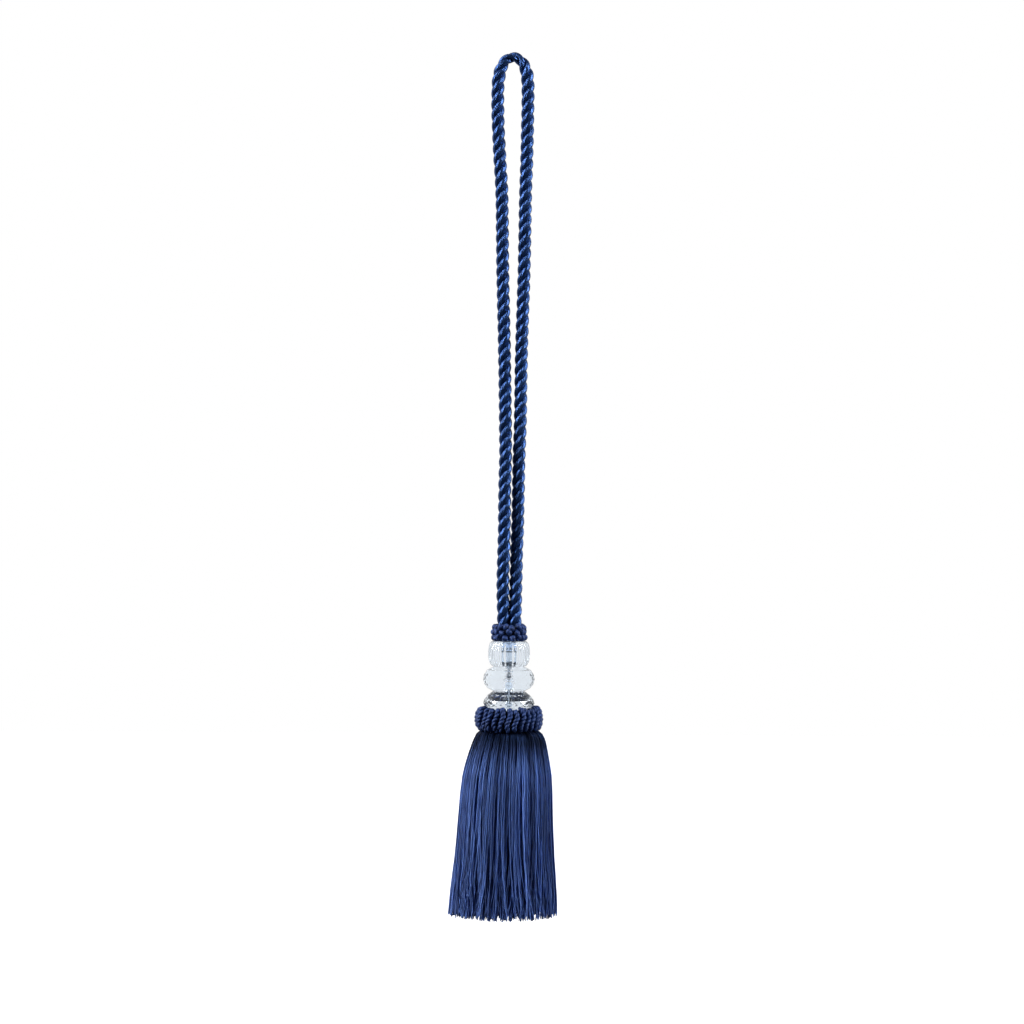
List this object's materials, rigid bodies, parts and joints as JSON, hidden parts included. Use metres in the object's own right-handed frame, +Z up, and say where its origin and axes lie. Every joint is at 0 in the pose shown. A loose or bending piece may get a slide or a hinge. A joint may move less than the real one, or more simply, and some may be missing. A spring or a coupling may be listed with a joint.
{
  "type": "curtain tieback tassel",
  "caption": "Twisted cord loop carrying clear cut beads between two wound ruffs, above a skirt of hanging thread.",
  "frame": {"origin": "where a hook takes the loop: just inside the top of the cord's arch, on the tassel's own axis", "axes": "+Z up along the hanging tassel, X across the loop, -Y towards the front of the picture"},
  "size_m": [0.0727, 0.0724, 0.5791],
  "materials": {
    "cord": "navy rayon, satin, three strands laid right-handed",
    "gimp": "dark navy two-ply gimp, slightly matt",
    "crystal": "clear, polished and cut",
    "wire": "drawn",
    "thread": "navy rayon thread, satin"
  },
  "bodies": {
    "root": {"cord_loop": "cord", "upper_ruff": "gimp", "top_bead": "crystal", "middle_bead": "crystal", "lower_bead": "crystal", "stringing_wire": "wire", "lower_ruff": "gimp", "skirt": "thread"}
  },
  "joints": []
}
